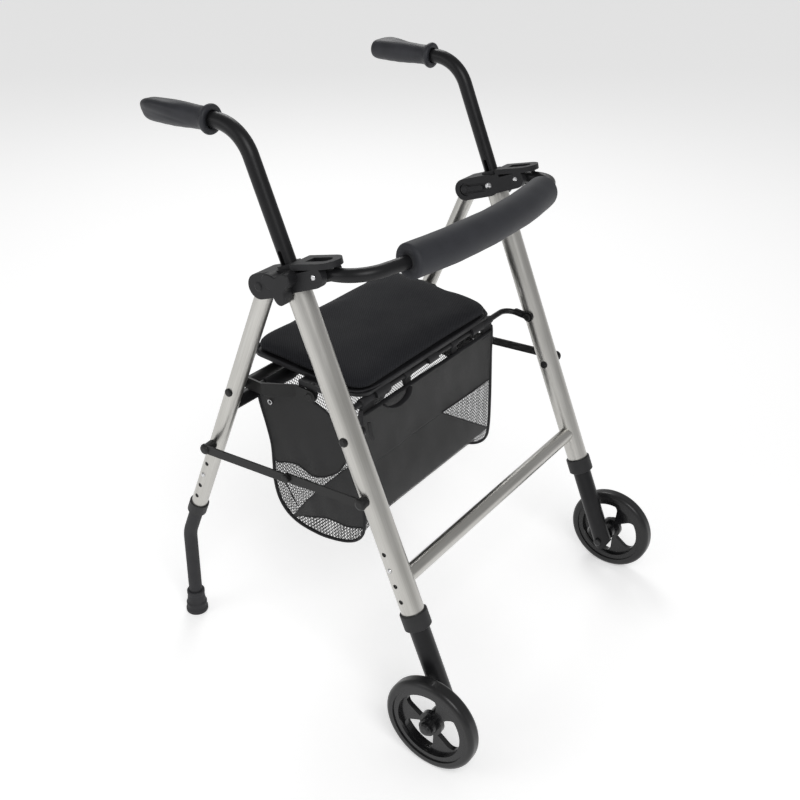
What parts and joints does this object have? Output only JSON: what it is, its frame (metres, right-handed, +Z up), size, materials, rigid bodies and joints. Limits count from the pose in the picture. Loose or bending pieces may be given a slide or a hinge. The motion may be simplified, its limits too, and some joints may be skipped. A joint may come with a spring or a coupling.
{
  "type": "folding rollator walker",
  "caption": "Folding wheeled walker with a padded seat, bowed foam backrest, height-adjusting handles and legs, and a fabric basket.",
  "frame": {"origin": "on the floor under the middle of the bounding box", "axes": "+Z up, the wheels at the front (-Y), X across; the user walks facing -Y with the left hand on +X"},
  "size_m": [0.6372, 0.609, 0.8921],
  "materials": {
    "silver_tube": "satin anodised",
    "black_tube": "satin black coat",
    "black_steel": "black paint",
    "steel": "bright plated",
    "black_plastic": "moulded",
    "wheel_plastic": "gloss moulded",
    "tyre": "smooth",
    "rubber": "matt",
    "grip_rubber": "matt",
    "foam": "closed-cell foam, skinned",
    "seat_fabric": "ribbed mesh",
    "basket_fabric": "nylon and open mesh"
  },
  "bodies": {
    "front_frame": {"front_crossbar": "silver_tube", "seat_front_tube": "black_tube", "basket": "basket_fabric", "front_tube_left": "silver_tube", "front_tube_right": "silver_tube", "front_collar_left": "black_plastic", "front_collar_right": "black_plastic", "top_bracket_left": "black_plastic", "top_bracket_right": "black_plastic", "rear_pivot_pin_left": "black_steel", "rear_pivot_pin_right": "black_steel", "backrest_rivet_left": "steel", "backrest_rivet_right": "steel", "clamp_bolt_left": "steel", "clamp_bolt_right": "steel", "front_stay_pin_left": "black_steel", "front_stay_pin_right": "black_steel", "seat_tube_bolt_left": "black_steel", "seat_tube_bolt_right": "black_steel"},
    "rear_frame": {"rear_crossbar": "silver_tube", "rear_rod": "black_steel", "rear_tube_left": "silver_tube", "rear_tube_right": "silver_tube", "rear_collar_left": "black_plastic", "rear_collar_right": "black_plastic", "rear_stay_pin_left": "black_steel", "rear_stay_pin_right": "black_steel"},
    "seat": {"seat_board": "black_plastic", "seat_cushion": "seat_fabric"},
    "side_bars": {"side_bar_left": "black_steel", "side_bar_right": "black_steel"},
    "front_stays": {"front_stay_left": "black_steel", "front_stay_right": "black_steel"},
    "rear_stays": {"rear_stay_left": "black_steel", "rear_stay_right": "black_steel"},
    "backrest": {"backrest_tube": "black_tube", "backrest_foam": "foam"},
    "front_leg_left": {"front_leg_left": "black_tube", "axle_left": "black_steel"},
    "front_wheel_left": {"tyre_left": "tyre", "wheel_left": "wheel_plastic"},
    "rear_leg_left": {"rear_leg_left": "black_tube", "foot_tip_left": "rubber"},
    "front_button_left": {"front_button_left": "steel"},
    "rear_button_left": {"rear_button_left": "steel"},
    "handle_left": {"handle_tube_left": "black_tube", "grip_left": "grip_rubber"},
    "knob_left": {"clamp_knob_left": "black_plastic"},
    "front_leg_right": {"front_leg_right": "black_tube", "axle_right": "black_steel"},
    "front_wheel_right": {"tyre_right": "tyre", "wheel_right": "wheel_plastic"},
    "rear_leg_right": {"rear_leg_right": "black_tube", "foot_tip_right": "rubber"},
    "front_button_right": {"front_button_right": "steel"},
    "rear_button_right": {"rear_button_right": "steel"},
    "handle_right": {"handle_tube_right": "black_tube", "grip_right": "grip_rubber"},
    "knob_right": {"clamp_knob_right": "black_plastic"}
  },
  "joints": [
    {"name": "fold", "type": "hinge", "parent": "front_frame", "child": "rear_frame", "pos_m": [0, 0.08533, 0.66733], "axis": [-1, 0, 0], "range_deg": [0, 36], "deforming": ["basket"]},
    {"name": "seat_lift", "type": "hinge", "parent": "front_frame", "child": "seat", "pos_m": [0, -0.01117, 0.477], "axis": [1, 0, 0], "range_deg": [0, 95.7]},
    {"name": "side_bar_turn", "type": "hinge", "parent": "rear_frame", "child": "side_bars", "pos_m": [0, 0.16146, 0.47699], "axis": [-1, 0, 0], "range_deg": [0, 26.6]},
    {"name": "front_stay_turn", "type": "hinge", "parent": "front_frame", "child": "front_stays", "pos_m": [0, -0.09009, 0.39103], "axis": [1, 0, 0], "range_deg": [0, 70.3]},
    {"name": "rear_stay_turn", "type": "hinge", "parent": "rear_frame", "child": "rear_stays", "pos_m": [0, 0.20343, 0.37208], "axis": [-1, 0, 0], "range_deg": [0, 34.6]},
    {"name": "backrest_drop", "type": "hinge", "parent": "front_frame", "child": "backrest", "pos_m": [0, -0.00924, 0.70467], "axis": [-1, 0, 0], "range_deg": [-75, 0]},
    {"name": "handle_left_height", "type": "slide", "parent": "front_frame", "child": "handle_left", "axis": [0, 0.4035, 0.915], "range_m": [-0.0381, 0.0762]},
    {"name": "knob_left_turn", "type": "hinge", "parent": "front_frame", "child": "knob_left", "pos_m": [0.257, 0.03929, 0.68436], "axis": [1, 0, 0], "range_deg": [0, 360]},
    {"name": "front_leg_left_height", "type": "slide", "parent": "front_frame", "child": "front_leg_left", "axis": [0, 0.4035, 0.915], "range_m": [-0.0508, 0.0254], "deforming": ["front_button_left"]},
    {"name": "front_button_left_press", "type": "slide", "parent": "front_leg_left", "child": "front_button_left", "axis": [1, 0, 0], "range_m": [-0.0045, 0], "stiffness_N_per_m": 1500, "springref_m": 0.002},
    {"name": "front_wheel_left_spin", "type": "hinge", "parent": "front_leg_left", "child": "front_wheel_left", "pos_m": [0.257, -0.22947, 0.075], "axis": [1, 0, 0], "continuous": true},
    {"name": "rear_leg_left_height", "type": "slide", "parent": "rear_frame", "child": "rear_leg_left", "axis": [0, -0.3714, 0.9285], "range_m": [-0.0508, 0.0254], "deforming": ["rear_button_left"]},
    {"name": "rear_button_left_press", "type": "slide", "parent": "rear_leg_left", "child": "rear_button_left", "axis": [1, 0, 0], "range_m": [-0.0045, 0], "stiffness_N_per_m": 1500, "springref_m": 0.002},
    {"name": "handle_right_height", "type": "slide", "parent": "front_frame", "child": "handle_right", "axis": [0, 0.4035, 0.915], "range_m": [-0.0381, 0.0762]},
    {"name": "knob_right_turn", "type": "hinge", "parent": "front_frame", "child": "knob_right", "pos_m": [-0.257, 0.03929, 0.68436], "axis": [-1, 0, 0], "range_deg": [0, 360]},
    {"name": "front_leg_right_height", "type": "slide", "parent": "front_frame", "child": "front_leg_right", "axis": [0, 0.4035, 0.915], "range_m": [-0.0508, 0.0254], "deforming": ["front_button_right"]},
    {"name": "front_button_right_press", "type": "slide", "parent": "front_leg_right", "child": "front_button_right", "axis": [-1, 0, 0], "range_m": [-0.0045, 0], "stiffness_N_per_m": 1500, "springref_m": 0.002},
    {"name": "front_wheel_right_spin", "type": "hinge", "parent": "front_leg_right", "child": "front_wheel_right", "pos_m": [-0.257, -0.22947, 0.075], "axis": [1, 0, 0], "continuous": true},
    {"name": "rear_leg_right_height", "type": "slide", "parent": "rear_frame", "child": "rear_leg_right", "axis": [0, -0.3714, 0.9285], "range_m": [-0.0508, 0.0254], "deforming": ["rear_button_right"]},
    {"name": "rear_button_right_press", "type": "slide", "parent": "rear_leg_right", "child": "rear_button_right", "axis": [-1, 0, 0], "range_m": [-0.0045, 0], "stiffness_N_per_m": 1500, "springref_m": 0.002}
  ],
  "couplings": [
    {"joint": "seat_lift", "follows": "fold", "ratio": 2.6534},
    {"joint": "side_bar_turn", "follows": "fold", "ratio": 0.733},
    {"joint": "front_stay_turn", "follows": "fold", "ratio": 1.9464},
    {"joint": "rear_stay_turn", "follows": "fold", "ratio": 0.9552}
  ]
}
